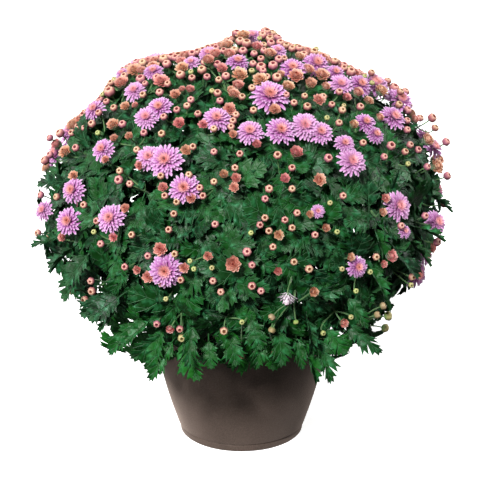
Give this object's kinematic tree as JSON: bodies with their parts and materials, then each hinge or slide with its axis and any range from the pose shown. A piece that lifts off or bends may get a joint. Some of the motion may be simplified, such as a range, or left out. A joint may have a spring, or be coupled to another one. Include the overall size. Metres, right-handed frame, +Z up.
{
  "type": "pot chrysanthemum",
  "caption": "Round potted chrysanthemum: a dense dome of lobed leaves set with lilac-pink double blooms, coral half-open heads and buds, in a brown bowl-shaped plastic pot.",
  "frame": {"origin": "middle of the pot's flat underside, on the surface that the pot stands on", "axes": "+Z up through the pot and the bush, -Y towards the viewer of the picture, +X to the viewer's right"},
  "size_m": [0.6208, 0.6369, 0.6321],
  "materials": {
    "pot_plastic": "moulded brown-grey plastic with a fine leathery grain, satin",
    "potting_soil": "loose dark peat and bark crumbs, matt",
    "foliage": "dark green lobed leaves with paler veins, grey-green stalks, soft sheen",
    "petals": "lilac-pink petals round a peach centre, matt and slightly translucent"
  },
  "bodies": {
    "root": {"pot": "pot_plastic", "potting_soil": "potting_soil", "leafy_stem_01": "foliage", "leafy_stem_02": "foliage", "leafy_stem_03": "foliage", "leafy_stem_04": "foliage", "leafy_stem_05": "foliage", "leafy_stem_06": "foliage", "leafy_stem_07": "foliage", "leafy_stem_08": "foliage", "leafy_stem_09": "foliage", "leafy_stem_10": "foliage", "leafy_stem_11": "foliage", "leafy_stem_12": "foliage", "leafy_stem_13": "foliage", "leafy_stem_14": "foliage", "bloom_01": "petals", "bloom_02": "petals", "bloom_03": "petals", "bloom_04": "petals", "bloom_05": "petals", "bloom_06": "petals", "bloom_07": "petals", "bloom_08": "petals", "bloom_09": "petals", "bloom_10": "petals", "bloom_11": "petals", "bloom_12": "petals", "bloom_13": "petals", "bloom_14": "petals", "bloom_15": "petals", "bloom_16": "petals", "bloom_17": "petals", "bloom_18": "petals", "bloom_19": "petals", "bloom_20": "petals", "bloom_21": "petals", "bloom_22": "petals", "bloom_23": "petals", "bloom_24": "petals", "bloom_25": "petals", "bloom_26": "petals", "bloom_27": "petals", "bloom_28": "petals", "bloom_29": "petals", "bloom_30": "petals", "bloom_31": "petals", "bloom_32": "petals", "bloom_33": "petals", "bloom_34": "petals", "bloom_35": "petals", "bloom_36": "petals", "bloom_37": "petals", "bloom_38": "petals", "bloom_39": "petals", "bloom_40": "petals", "bloom_41": "petals", "bloom_42": "petals", "bloom_43": "petals", "bloom_44": "petals"}
  },
  "joints": []
}
